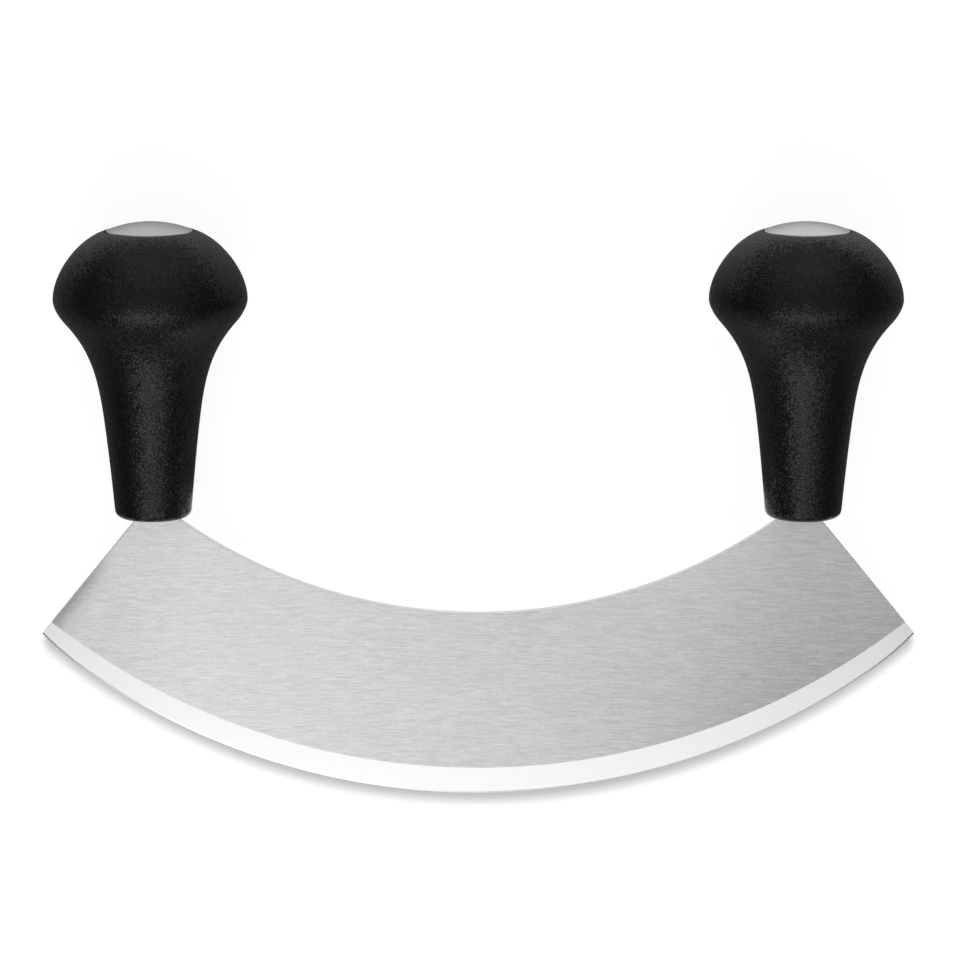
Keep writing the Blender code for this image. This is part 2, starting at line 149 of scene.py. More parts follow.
class NodeSketch:
    """A node tree while it is drawn up."""

    def __init__(self, tree: bpy.types.NodeTree) -> None:
        """Starts on an empty tree."""
        self.tree = tree
        tree.nodes.clear()

    def add(self, kind: str, inputs: dict | None = None, **settings: object) -> bpy.types.Node:
        """Adds a node.

        Args:
            kind: Blender's identifier of the node.
            inputs: Sockets to link, or values to set, by the input's name or number.
            **settings: Properties of the node.

        Returns:
            The new node.
        """
        node = self.tree.nodes.new(kind)
        for name, value in settings.items():
            setattr(node, name, value)
        for name, value in (inputs or {}).items():
            if isinstance(value, bpy.types.NodeSocket):
                self.tree.links.new(value, node.inputs[name])
            else:
                node.inputs[name].default_value = value
        return node

    def math(self, operation: str, *terms: Term) -> Socket:
        """Adds a sum, product or other function of one to three values and returns its result."""
        kind = "ShaderNodeMath"
        return self.add(kind, dict(enumerate(terms)), operation=operation).outputs[0]

    def vector_math(self, operation: str, *terms: Term) -> Socket:
        """Adds a function of vectors and returns its result."""
        kind = "ShaderNodeVectorMath"
        return self.add(kind, dict(enumerate(terms)), operation=operation).outputs[0]

    def ramp(self, value: Socket, start: Term, end: Term, low: Term, high: Term) -> Socket:
        """Adds a smooth step of a value from one number to another and returns its result."""
        inputs = {0: value, 1: start, 2: end, 3: low, 4: high}
        return self.add("ShaderNodeMapRange", inputs, interpolation_type="SMOOTHSTEP").outputs[0]

    def noise(self, vector: Socket, scale: float, detail: float) -> Socket:
        """Adds a noise between 0 and 1 and returns it."""
        inputs = {"Vector": vector, "Scale": scale, "Detail": detail}
        return self.add("ShaderNodeTexNoise", inputs).outputs[0]


@dataclass(frozen=True)
class Finish(ABC):
    """What one kind of surface looks like."""

    name: str
    colour: Triple
    roughness: float

    def material(self, lie: Lie) -> bpy.types.Material:
        """Makes the finish's material.

        Args:
            lie: The frame that its pattern follows.

        Returns:
            The material.
        """
        material = bpy.data.materials.new(self.name)
        material.use_nodes = True
        sketch = NodeSketch(material.node_tree)
        spot = sketch.add("ShaderNodeTexCoord").outputs["Object"]
        place = {"Vector": spot, "Location": lie.matrix.translation, "Rotation": lie.matrix.to_euler()}
        local = sketch.add("ShaderNodeMapping", place, vector_type="TEXTURE").outputs[0]
        shader = sketch.add("ShaderNodeBsdfPrincipled", self.dress(sketch, local))
        sketch.add("ShaderNodeOutputMaterial", {"Surface": shader.outputs[0]})
        return material

    @abstractmethod
    def dress(self, sketch: NodeSketch, local: Socket) -> dict[str, Socket | float]:
        """Draws up what feeds the shader.

        Args:
            sketch: The material's node tree.
            local: Coordinates in the frame of the knife.

        Returns:
            The principled shader's inputs by name.
        """

    def tint(self, sketch: NodeSketch, share: Socket) -> Socket:
        """Multiplies the finish's colour by a value near 1."""
        return sketch.vector_math("MULTIPLY", self.colour, share)


@dataclass(frozen=True)
class ScratchedSteel(Finish):
    """Steel with the fine parallel scratches of brushing or grinding."""

    grain: Grain
    scratch_length: float
    scratch_width: float
    contrast: float
    scratch_depth: float
    spread: float = 0.0  # how far the grain draws reflections out sideways
    short_scratch: float = 1 / 6  # length of a short scratch as a share of a long one's
    long_share: float = 0.6  # share of the pattern that long scratches make
    roughness_contrast: float = 0.1  # as a share of the contrast in tone
    cloud_size: float = 0.03
    cloud_contrast: float = 0.04

    def dress(self, sketch: NodeSketch, local: Socket) -> dict[str, Socket | float]:
        """Draws long and short scratches over soft clouds of tone.

        Args:
            sketch: The material's node tree.
            local: Coordinates in the frame of the knife.

        Returns:
            The principled shader's inputs by name.
        """
        long = self._scratches(sketch, local, self.scratch_length, self.scratch_width)
        short = self._scratches(sketch, local, self.scratch_length * self.short_scratch, self.scratch_width)
        cloud = sketch.noise(local, 1 / self.cloud_size, 1)
        rest = sketch.math("MULTIPLY", short, 1 - self.long_share)
        streak = sketch.math("MULTIPLY_ADD", long, self.long_share, rest)
        around = sketch.math("SUBTRACT", streak, 0.5)
        drift = sketch.math("MULTIPLY", sketch.math("SUBTRACT", cloud, 0.5), self.cloud_contrast)
        share = sketch.math("MULTIPLY_ADD", around, self.contrast, sketch.math("ADD", drift, 1.0))
        tone = self.tint(sketch, self.shade(sketch, local, streak, share))
        rough = sketch.math("MULTIPLY_ADD", around, self.contrast * self.roughness_contrast, self.roughness)
        bump = {"Height": streak, "Distance": self.scratch_depth, "Strength": 1.0}
        normal = sketch.add("ShaderNodeBump", bump).outputs[0]
        inputs = {"Base Color": tone, "Roughness": rough, "Normal": normal, "Metallic": 1.0}
        if self.spread:
            tangent = sketch.add("ShaderNodeTangent", direction_type="UV_MAP", uv_map=GRAIN_MAP)
            inputs["Tangent"] = tangent.outputs[0]
            inputs["Anisotropic"] = self.spread
            inputs["Anisotropic Rotation"] = 0.25 if self.grain is Grain.ALONG_CHORD else 0.0
        return inputs

    def _scratches(self, sketch: NodeSketch, local: Socket, length: float, width: float) -> Socket:
        """One layer of scratches.

        Args:
            sketch: The material's node tree.
            local: Coordinates in the frame of the knife.
            length: Length of a scratch.
            width: Width of a scratch.

        Returns:
            A value between 0 and 1.
        """
        stretch = {"Vector": local, "Scale": self.grain.stretch(length, width)}
        drawn = sketch.add("ShaderNodeMapping", stretch).outputs[0]
        return sketch.noise(drawn, 1.0, 1.0)

    def shade(self, sketch: NodeSketch, local: Socket, streak: Socket, share: Socket) -> Socket:
        """Hook for tone and painted shade that one place of the finish gets; plain steel has none."""
        return share


@dataclass(frozen=True)
class RubbedSteel(ScratchedSteel):
    """The blade's brushed steel, whose tone isn't even and which carries painted shade and light.

    A streaky darker band runs up along the left end cut, painted shade darkens both ends, and painted light
    and shade make the right half lighter from the bevel to the back.
    """

    rub_strength: float = 0.44
    rub_width: float = 0.0035
    rub_top: float = 0.073  # height at which the mark has gone
    rub_narrowing: float = 0.6  # share of its width that the mark loses on the way up
    rub_fading: float = 0.6  # share of its height over which it fades at the top
    rub_edge: float = 1.4  # widths over which the mark fades out sideways
    rub_body: float = 1.0  # widths that it has where no scratch widens it
    rub_least: float = 0.4  # widths that it has at least
    rub_raggedness: float = 5  # widths by which the scratches make it vary
    unevenness: float = 0.26  # painted light and shade, from the edge to the back, on the right half
    uneven_from: float = 0.01  # along the chord
    uneven_full: float = 0.07
    left_dulling: float = 0.13  # share of the tone that painted shade takes at the tip
    right_dulling: float = 0.1
    dull_end: float = 0.045  # along the chord, from the tip

    def shade(self, sketch: NodeSketch, local: Socket, streak: Socket, share: Socket) -> Socket:
        """Adds the streaky darker band, the painted shade at both ends and the painted light and shade
        across the right half.

        Args:
            sketch: The material's node tree.
            local: Coordinates in the frame of the knife.
            streak: Value of the scratches.
            share: Share of the finish's colour so far.

        Returns:
            The share with them.
        """
        blade = Blade()
        tip = blade.edge_point(1)
        place = sketch.add("ShaderNodeSeparateXYZ", {0: local}).outputs
        # a streaky darker band up along the left end cut
        cut = blade.end_cut_angle
        inwards = sketch.math("MULTIPLY", sketch.math("ADD", place["X"], tip.x), math.cos(cut))
        lower = sketch.math("MULTIPLY", sketch.math("SUBTRACT", tip.y, place["Z"]), math.sin(cut))
        distance = sketch.math("ADD", inwards, lower)
        fade = sketch.ramp(place["Z"], tip.y, self.rub_top, 1, 0)
        around = sketch.math("SUBTRACT", streak, 0.5)
        ragged = sketch.math("MULTIPLY_ADD", around, self.rub_raggedness, self.rub_body)
        ragged = sketch.math("MAXIMUM", ragged, self.rub_least)
        narrowed = sketch.math("MULTIPLY_ADD", fade, self.rub_narrowing, 1 - self.rub_narrowing)
        width = sketch.math("MULTIPLY", sketch.math("MULTIPLY", narrowed, self.rub_width), ragged)
        near = sketch.ramp(sketch.math("DIVIDE", distance, width), 0, self.rub_edge, 1, 0)
        mark = sketch.math("MULTIPLY", near, sketch.ramp(fade, 0, self.rub_fading, 0, self.rub_strength))
        # painted light and shade across the right half: darker by the bevel, lighter towards the back
        drop = sketch.math("SUBTRACT", place["Z"], blade.edge_radius)
        square = sketch.math("MULTIPLY_ADD", drop, drop, sketch.math("MULTIPLY", place["X"], place["X"]))
        from_edge = sketch.math("SUBTRACT", blade.edge_radius, sketch.math("SQRT", square))
        slope = self.unevenness / blade.spine_height
        upwards = sketch.math("MULTIPLY_ADD", from_edge, slope, -self.unevenness / 2)
        across = sketch.ramp(place["X"], self.uneven_from, self.uneven_full, 0, 1)
        drift = sketch.math("MULTIPLY", upwards, across)
        # painted shade that darkens both ends of the blade
        left = sketch.ramp(place["X"], -tip.x, self.dull_end - tip.x, -self.left_dulling, 0)
        starts, ends = tip.x - 2 * self.dull_end, tip.x - self.dull_end / 2
        right = sketch.ramp(place["X"], starts, ends, 0, -self.right_dulling)
        share = sketch.math("ADD", share, sketch.math("ADD", drift, sketch.math("ADD", left, right)))
        return sketch.math("MULTIPLY", share, sketch.math("SUBTRACT", 1, mark))


@dataclass(frozen=True)
class MouldedPlastic(Finish):
    """Black plastic from a mould with an even, fine sparked grain."""

    grain_size: float
    grain_depth: float
    contrast: float
    gloss: float
    facet_tilt: float  # range of the facets' lean, as a share of the normal
    pits: float = 3  # times finer than the grain
    pit_share: float = 0.1  # of the grain's depth
    roughness_range: float = 0.2

    def dress(self, sketch: NodeSketch, local: Socket) -> dict[str, Socket | float]:
        """Draws the grain as relief with small tilted facets and as a slight mottling of the black.

        Args:
            sketch: The material's node tree.
            local: Coordinates in the frame of the knife.

        Returns:
            The principled shader's inputs by name.
        """
        coarse = sketch.noise(local, 1 / self.grain_size, 0.0)
        fine = sketch.noise(local, self.pits / self.grain_size, 1.0)
        relief = sketch.math("MULTIPLY_ADD", fine, self.pit_share, coarse)
        mottle = sketch.math("MULTIPLY_ADD", sketch.math("SUBTRACT", coarse, 0.5), self.contrast, 1.0)
        tone = self.tint(sketch, mottle)
        around = sketch.math("SUBTRACT", fine, 0.5)
        rough = sketch.math("MULTIPLY_ADD", around, self.roughness_range, self.roughness)
        bump = {"Height": relief, "Distance": self.grain_depth, "Strength": 1.0}
        skin = sketch.add("ShaderNodeBump", bump).outputs[0]
        facets = sketch.add("ShaderNodeTexVoronoi", {"Vector": local, "Scale": 1 / self.grain_size})
        aside = sketch.vector_math("SUBTRACT", facets.outputs["Color"], (0.5, 0.5, 0.5))
        tilted = sketch.vector_math("MULTIPLY_ADD", aside, (self.facet_tilt,) * 3, skin)
        normal = sketch.vector_math("NORMALIZE", tilted)
        return {"Base Color": tone, "Roughness": rough, "Normal": normal, "Specular IOR Level": self.gloss}


BODY_STEEL = RubbedSteel(
    name="brushed_blade_steel",
    colour=(0.8, 0.8, 0.8),
    roughness=0.46,
    grain=Grain.ALONG_CHORD,
    scratch_length=0.004,
    scratch_width=0.00028,
    contrast=0.78,
    scratch_depth=0.000005,
    spread=0.7,
)
BEVEL_STEEL = ScratchedSteel(
    name="ground_bevel_steel",
    colour=(0.94, 0.94, 0.94),
    roughness=0.36,
    grain=Grain.TOWARDS_GRIPS,
    scratch_length=0.006,
    scratch_width=0.0004,
    contrast=0.08,
    scratch_depth=0.000002,
    spread=0.8,
)
EDGE_STEEL = ScratchedSteel(
    name="honed_edge_steel",
    colour=(0.96, 0.96, 0.96),
    roughness=0.3,
    grain=Grain.ALONG_CHORD,
    scratch_length=0.003,
    scratch_width=0.0001,
    contrast=0.1,
    scratch_depth=0.000001,
)
CAP_STEEL = ScratchedSteel(
    name="satin_cap_steel",
    colour=(0.85, 0.85, 0.84),
    roughness=0.36,
    grain=Grain.THROUGH_THICKNESS,
    scratch_length=0.006,
    scratch_width=0.00025,
    contrast=0.2,
    scratch_depth=0.000003,
)
FASTENER_STEEL = ScratchedSteel(
    name="plain_fastener_steel",
    colour=(0.5, 0.5, 0.5),
    roughness=0.45,
    grain=Grain.ALONG_CHORD,
    scratch_length=0.002,
    scratch_width=0.0004,
    contrast=0.2,
    scratch_depth=0.000004,
)
BLACK_PLASTIC = MouldedPlastic(
    name="black_moulded_plastic",
    colour=(0.0032, 0.0033, 0.0034),
    roughness=0.24,
    grain_size=0.00032,
    grain_depth=0.00008,
    contrast=0.5,
    gloss=0.4,
    facet_tilt=0.42,
)


class Wardrobe:
    """The materials in use, each made once."""

    def __init__(self, lie: Lie) -> None:
        """Starts with no material made."""
        self.lie = lie
        self.made: dict[str, bpy.types.Material] = {}

    def material(self, finish: Finish) -> bpy.types.Material:
        """Material of a finish, made at its first use.

        Args:
            finish: The finish.

        Returns:
            Its material.
        """
        if finish.name not in self.made:
            self.made[finish.name] = finish.material(self.lie)
        return self.made[finish.name]


def arc(centre: Vector, start: Vector, finish: Vector, steps: int) -> Outline:
    """Points of an arc.

    Args:
        centre: Middle of the arc.
        start: Radius, as a vector, where it starts.
        finish: Radius where it ends.
        steps: Number of straight steps.

    Returns:
        The points, both ends among them.
    """
    return [centre + start.length * start.slerp(finish, step / steps) for step in range(steps + 1)]


def bend(start: Vector, leave: Vector, end: Vector, arrive: Vector, steps: int) -> Outline:
    """Points of a smooth stretch after its start.

    Args:
        start: Where it starts.
        leave: Pull with which it leaves the start.
        end: Where it ends.
        arrive: Pull with which it arrives at the end.
        steps: Number of straight steps.

    Returns:
        The points without the start.
    """
    return interpolate_bezier(start, start + leave, end - arrive, end, steps + 1)[1:]


@dataclass(frozen=True)
class Knot:
    """A place on a turned outline, with its slope and the pulls of the curve that passes through it."""

    radius: float
    height: float
    slope: float  # degrees from the axis, positive outwards
    below: float = 0.0  # pull of the curve that arrives
    above: float = 0.0  # pull of the curve that leaves

    @property
    def place(self) -> Vector:
        """Where it is, as radius and height."""
        return Vector((self.radius, self.height))

    def pull(self, length: float) -> Vector:
        """Pull of a length along the slope."""
        angle = math.radians(self.slope)
        return Vector((math.sin(angle), math.cos(angle))) * length


class Lathe:
    """Geometry nodes that turn a half outline about the vertical axis into a closed piece."""

    SOCKETS = (
        ("Outline", "INPUT", "NodeSocketGeometry"),
        ("Steps", "INPUT", "NodeSocketInt"),
        ("Sharp Angle", "INPUT", "NodeSocketFloat"),
        ("Merge Distance", "INPUT", "NodeSocketFloat"),
        ("Finish", "INPUT", "NodeSocketMaterial"),
        ("Piece", "OUTPUT", "NodeSocketGeometry"),
    )

    def __init__(self) -> None:
        """Draws up the tree once, for all turned pieces."""
        self.tree = bpy.data.node_groups.new("turned_piece", "GeometryNodeTree")
        for name, way, kind in self.SOCKETS:
            self.tree.interface.new_socket(name, in_out=way, socket_type=kind)
        self._draw_up()

    def _draw_up(self) -> None:
        """Lays a grid, and moves its rows to the outline's points and its columns round the axis."""
        sketch = NodeSketch(self.tree)
        given = sketch.add("NodeGroupInput").outputs
        count = sketch.add("GeometryNodeAttributeDomainSize", {0: given["Outline"]}).outputs["Point Count"]
        columns = sketch.math("ADD", given["Steps"], 1)
        size = {"Size X": 1, "Size Y": 1, "Vertices X": columns, "Vertices Y": count}
        grid = sketch.add("GeometryNodeMeshGrid", size)
        here = sketch.add("GeometryNodeInputPosition").outputs[0]
        shares = sketch.vector_math("ADD", here, (0.5, 0.5, 0.5))
        split = sketch.add("ShaderNodeSeparateXYZ", {0: shares}).outputs
        last = sketch.math("SUBTRACT", count, 1)
        row = sketch.math("ROUND", sketch.math("MULTIPLY", split["Y"], last))
        sample = {"Geometry": given["Outline"], "Value": here, "Index": row}
        point = sketch.add("GeometryNodeSampleIndex", sample, data_type="FLOAT_VECTOR").outputs[0]
        outline = sketch.add("ShaderNodeSeparateXYZ", {0: point}).outputs
        angle = sketch.math("MULTIPLY", split["X"], math.tau)
        x = sketch.math("MULTIPLY", outline["X"], sketch.math("COSINE", angle))
        y = sketch.math("MULTIPLY", outline["X"], sketch.math("SINE", angle))
        place = sketch.add("ShaderNodeCombineXYZ", {0: x, 1: y, 2: outline["Z"]}).outputs[0]
        laid_out = {"Geometry": grid.outputs["Mesh"], "Value": grid.outputs["UV Map"], "Name": "UVMap"}
        mapped = sketch.add(
            "GeometryNodeStoreNamedAttribute", laid_out, data_type="FLOAT2", domain="CORNER"
        ).outputs[0]
        turned = sketch.add("GeometryNodeSetPosition", {"Geometry": mapped, "Position": place}).outputs[0]
        merge = {"Geometry": turned, "Distance": given["Merge Distance"]}
        closed = sketch.add("GeometryNodeMergeByDistance", merge).outputs[0]
        edge_angle = sketch.add("GeometryNodeInputMeshEdgeAngle").outputs["Unsigned Angle"]
        angles = {0: edge_angle, 1: given["Sharp Angle"]}
        sharp = sketch.add("FunctionNodeCompare", angles, operation="GREATER_THAN")
        rounded = {"Geometry": closed, "Shade Smooth": True}
        smooth = sketch.add("GeometryNodeSetShadeSmooth", rounded).outputs[0]
        crisp = {"Geometry": smooth, "Selection": sharp.outputs[0], "Shade Smooth": False}
        creased = sketch.add("GeometryNodeSetShadeSmooth", crisp, domain="EDGE").outputs[0]
        real = sketch.add("GeometryNodeRealizeInstances", {"Geometry": creased}).outputs[0]
        dressed = sketch.add("GeometryNodeSetMaterial", {"Geometry": real, "Material": given["Finish"]})
        sketch.add("NodeGroupOutput", {"Piece": dressed.outputs[0]})

    def turn(self, name: str, outline: Outline, steps: int, finish: bpy.types.Material) -> bpy.types.Mesh:
        """Turns an outline that starts and ends on the axis.

        Args:
            name: Name of the new mesh.
            outline: Points as radius and height, upwards along the outer side.
            steps: Number of facets round the axis.
            finish: Material of the piece.

        Returns:
            The closed mesh.
        """
        data = bpy.data.meshes.new(name)
        data.from_pydata([(point.x, 0, point.y) for point in outline], [], [])
        blank = bpy.data.objects.new(name, data)
        bpy.context.scene.collection.objects.link(blank)
        turning = blank.modifiers.new("turned_piece", "NODES")
        turning.node_group = self.tree
        settings = {
            "Steps": steps,
            "Sharp Angle": CRISP_ANGLE,
            "Merge Distance": MERGE_DISTANCE,
            "Finish": finish,
        }
        for label, value in settings.items():
            turning[self.tree.interface.items_tree[label].identifier] = value
        return as_mesh(blank, name)


def as_mesh(made: bpy.types.Object, name: str) -> bpy.types.Mesh:
    """Takes an object's mesh as its modifiers leave it, and removes the object.

    Args:
        made: The object.
        name: Name of the new mesh.

    Returns:
        The mesh.
    """
    depsgraph = bpy.context.evaluated_depsgraph_get()
    data = bpy.data.meshes.new_from_object(made.evaluated_get(depsgraph), depsgraph=depsgraph)
    data.name = name
    bpy.data.objects.remove(made)
    return data


def plain_mesh(name: str, mesh: bmesh.types.BMesh) -> bpy.types.Mesh:
    """Turns the faces of a drawn mesh outwards and stores it.

    Args:
        name: Name of the new mesh.
        mesh: The drawn mesh, which is freed.

    Returns:
        The stored mesh.
    """
    bmesh.ops.recalc_face_normals(mesh, faces=mesh.faces)
    data = bpy.data.meshes.new(name)
    mesh.to_mesh(data)
    mesh.free()
    return data


def stand_in(name: str, data: bpy.types.Mesh, place: Matrix, node: str) -> bpy.types.Object:
    """Puts a finished mesh in the place of a solid.

    Args:
        name: Name of the piece.
        data: Its mesh, in its own frame.
        place: Where that frame is.
        node: The solid it stands for.

    Returns:
        The piece.
    """
    data.transform(place)
    piece = bpy.data.objects.new(name, data)
    bpy.context.scene.collection.objects.link(piece)
    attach(piece, BODY)
    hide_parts(node)
    return piece


class SubAssembly(ABC):
    """Pieces of the knife that are made and dressed together."""

    @abstractmethod
    def build(self, lie: Lie, wardrobe: Wardrobe) -> list[bpy.types.Object]:
        """Makes the pieces.

        Args:
            lie: Where the knife lies.
            wardrobe: The finishes' materials.

        Returns:
            The pieces.
        """


@dataclass
class Blade(SubAssembly):
    """One plate with a rocking edge, bevels between arcs of unlike centres, and two tangs."""

    BEVEL_SLOT: ClassVar[int] = 1
    EDGE_SLOT: ClassVar[int] = 2
    half_chord: float = 0.115
    half_plate: float = 0.001
    edge_radius: float = 0.1775
    tip_turn_reach: float = 0.011
    tip_turn_radius: float = 0.075
    grind_radius: float = 0.1794
    grind_height: float = 0.0071
    hone_width: float = 0.0005
    half_hone: float = 0.00025
    half_land: float = 0.00005
    spine_radius: float = 0.1345
    spine_height: float = 0.0489
    end_cut_angle: float = math.radians(39.3)
    half_tang: float = 0.004
    half_thread: float = 0.0037
    tang_fillet: float = 0.001
    tang_chamfer: float = 0.0008
    shoulder: float = 0.0327  # above the grips' base
    tang_top: float = 0.0455  # above the grips' base
    arris: float = 0.00006  # the back and the ends are deburred by this much
    arris_angle: float = math.radians(60)  # between faces that meet in an arris
    crisp_angle: float = math.radians(4)  # between faces that meet in a crisp line
    edge_steps: int = 180
    spine_steps: int = 120
    fillet_steps: int = 6

    def build(self, lie: Lie, wardrobe: Wardrobe) -> list[bpy.types.Object]:
        """Makes the blade with its brushed sides, ground bevels and honed edge.

        Args:
            lie: Where the knife lies.
            wardrobe: The finishes' materials.

        Returns:
            The blade.
        """
        data = self.mesh(lie)
        for finish in (BODY_STEEL, BEVEL_STEEL, EDGE_STEEL):
            data.materials.append(wardrobe.material(finish))
        return [stand_in("crescent_blade", data, lie.matrix, "blade")]

    def arc_point(self, radius: float, centre_height: float, angle: float) -> Vector:
        """Point of a circle round a place over the middle, at an angle from straight down."""
        return Vector((radius * math.sin(angle), centre_height - radius * math.cos(angle)))

    def edge_point(self, share: float) -> Vector:
        """Point of the cutting edge.

        Args:
            share: Share of the way from the middle to the right tip, or below 0 to the left one.

        Returns:
            The point.
        """
        turn_angle = math.asin((self.half_chord - self.tip_turn_reach) / self.edge_radius)
        turn_start = self.arc_point(self.edge_radius, self.edge_radius, turn_angle)
        turn_centre = turn_start - self.arc_point(self.tip_turn_radius, 0, turn_angle)
        tip_angle = math.asin((self.half_chord - turn_centre.x) / self.tip_turn_radius)
        main_length = self.edge_radius * turn_angle
        travel = abs(share) * (main_length + self.tip_turn_radius * (tip_angle - turn_angle))
        if travel <= main_length:
            point = self.arc_point(self.edge_radius, self.edge_radius, travel / self.edge_radius)
        else:
            angle = turn_angle + (travel - main_length) / self.tip_turn_radius
            point = turn_centre + self.arc_point(self.tip_turn_radius, 0, angle)
        return Vector((math.copysign(point.x, share), point.y))

    def end_cut_point(self, distance: float) -> Vector:
        """Point of the right end cut, at a distance from the tip."""
        along = Vector((-math.sin(self.end_cut_angle), math.cos(self.end_cut_angle)))
        return self.edge_point(1) + distance * along

    def grind_point(self, share: float) -> Vector:
        """Point of the line where the bevel starts.

        Args:
            share: Share of the way from the middle to the right end cut, or below 0 to the left one.

        Returns:
            The point.
        """
        centre = Vector((0, self.grind_height + self.grind_radius))
        from_centre = self.edge_point(1) - centre
        along = from_centre.dot(self.end_cut_point(1) - self.end_cut_point(0))
        distance = -along - math.sqrt(along**2 - from_centre.length_squared + self.grind_radius**2)
        end_angle = math.asin(self.end_cut_point(distance).x / self.grind_radius)
        return self.arc_point(self.grind_radius, centre.y, share * end_angle)

    def spine_point(self, x: float) -> Vector:
        """Point of the concave back at a place along the chord."""
        return self.arc_point(
            self.spine_radius, self.spine_height + self.spine_radius, math.asin(x / self.spine_radius)
        )

    def spine_reach(self, height: float) -> float:
        """How far from the middle the back lies at a height."""
        drop = self.spine_height + self.spine_radius - height
        return math.sqrt(max(0, self.spine_radius**2 - drop**2))

    def fillet(self, before: Vector, corner: Vector, after: Vector) -> Outline:
        """Rounds a corner at the tang's foot.

        Args:
            before: A point on the line to the corner.
            corner: The corner.
            after: A point on the line from the corner.

        Returns:
            Points of the arc.
        """
        inward = (before - corner).normalized()
        outward = (after - corner).normalized()
        half = inward.angle(outward) / 2
        centre = corner + (inward + outward).normalized() * self.tang_fillet / math.sin(half)
        reach = self.tang_fillet / math.tan(half)
        start = corner + inward * reach
        end = corner + outward * reach
        return arc(centre, start - centre, end - centre, self.fillet_steps)

    def horn(self, grip_axis: float, base: float) -> Outline:
        """Outline of the right horn and its tang, from the end cut round to the back.

        Args:
            grip_axis: Place of the tang's axis along the chord.
            base: Height of the grip's base.

        Returns:
            The outline.
        """
        inner = grip_axis - self.half_tang
        shoulder = base + self.shoulder
        top = base + self.tang_top
        half_outline = (
            (self.half_tang, shoulder),
            (self.half_thread, shoulder),
            (self.half_thread, top - self.tang_chamfer),
            (self.half_thread - self.tang_chamfer, top),
        )
        tang = [Vector((grip_axis + across, height)) for across, height in half_outline]
        tang += [Vector((grip_axis - across, height)) for across, height in reversed(half_outline)]
        outer_round = self.fillet(self.edge_point(1), Vector((tang[0].x, base)), tang[0])
        foot = self.spine_point(inner - self.tang_fillet)
        inner_round = self.fillet(tang[-1], self.spine_point(inner), foot)
        return outer_round + tang + inner_round

    def back(self, lie: Lie) -> Outline:
        """Outline above the bevel, from the right end cut to the left one.

        Args:
            lie: Where the knife lies.

        Returns:
            The outline.
        """
        right = self.horn(lie.grip_axis, lie.base_height)
        last = right[-1].x
        steps = range(1, self.spine_steps)
        spine = [self.spine_point(last * (1 - 2 * step / self.spine_steps)) for step in steps]
        left = [Vector((-point.x, point.y)) for point in reversed(right)]
        return right + spine + left

    def mesh(self, lie: Lie) -> bpy.types.Mesh:
        """Plate whose bevels run between the grind line, the honed shoulder and the cutting edge.

        Args:
            lie: Where the knife lies.

        Returns:
            The blade's mesh.
        """
        shares = [2 * step / self.edge_steps - 1 for step in range(self.edge_steps + 1)]
        edge = [self.edge_point(share) for share in shares]
        grind = [self.grind_point(share) for share in shares]
        hone = [low + (high - low).normalized() * self.hone_width for low, high in zip(edge, grind)]
        back = self.back(lie)
        mesh = bmesh.new()
        rows = (
            (grind, -self.half_plate),
            (hone, -self.half_hone),
            (edge, -self.half_land),
            (edge, self.half_land),
            (hone, self.half_hone),
            (grind, self.half_plate),
        )
        rails = [self._rail(mesh, points, y) for points, y in rows]
        slots = (self.BEVEL_SLOT, self.EDGE_SLOT, self.EDGE_SLOT, self.EDGE_SLOT, self.BEVEL_SLOT)
        for slot, (first, second) in zip(slots, zip(rails, rails[1:])):
            self._join(mesh, first, second, slot)
        near = self._rail(mesh, back, -self.half_plate)
        far = self._rail(mesh, back, self.half_plate)
        mesh.faces.new(rails[0] + near)
        mesh.faces.new(rails[-1] + far)
        near_loop = [rails[0][-1]] + near + [rails[0][0]]
        far_loop = [rails[-1][-1]] + far + [rails[-1][0]]
        self._join(mesh, near_loop, far_loop, self.EDGE_SLOT)
        for end in (0, -1):
            mesh.faces.new([row[end] for row in rails])
        self._deburr(mesh, keep_sharp={vertex for row in rails[1:-1] for vertex in row})
        self._lay_grain(mesh)
        data = plain_mesh("crescent_blade", mesh)
        data.shade_smooth()
        data.set_sharp_from_angle(angle=self.crisp_angle)
        return data

    def _rail(self, mesh: bmesh.types.BMesh, points: Outline, y: float) -> list[bmesh.types.BMVert]:
        """Adds a row of points at one depth of the plate."""
        return [mesh.verts.new((point.x, y, point.y)) for point in points]

    def _join(self, mesh: bmesh.types.BMesh, first: list, second: list, slot: int) -> None:
        """Adds the strip of faces between two rows.

        Args:
            mesh: The blade's mesh.
            first: One row of points.
            second: The other row.
            slot: Material slot of the faces.
        """
        for step in range(len(first) - 1):
            face = mesh.faces.new((first[step], second[step], second[step + 1], first[step + 1]))
            face.material_index = slot

    def _lay_grain(self, mesh: bmesh.types.BMesh) -> None:
        """Maps the blade flat, with U along the chord.

        Args:
            mesh: The blade's mesh.
        """
        grain = mesh.loops.layers.uv.new(GRAIN_MAP)
        chord = 2 * self.half_chord
        for face in mesh.faces:
            for loop in face.loops:
                place = loop.vert.co
                loop[grain].uv = (0.5 + place.x / chord, (place.z + place.y) / chord)

    def _deburr(self, mesh: bmesh.types.BMesh, keep_sharp: set) -> None:
        """Breaks the arrises of the back, the ends and the tangs.

        Args:
            mesh: The blade's mesh.
            keep_sharp: Points of the hone and the cutting edge.
        """
        mesh.normal_update()
        arrises = [
            edge
            for edge in mesh.edges
            if len(edge.link_faces) == 2
            and edge.calc_face_angle(0) > self.arris_angle
            and not keep_sharp.intersection(edge.verts)
            and abs(edge.verts[0].co.y - edge.verts[1].co.y) < self.half_plate
        ]
        slot = self.EDGE_SLOT
        bmesh.ops.bevel(
            mesh, geom=arrises, offset=self.arris, segments=2, profile=0.5, affect="EDGES", material=slot
        )


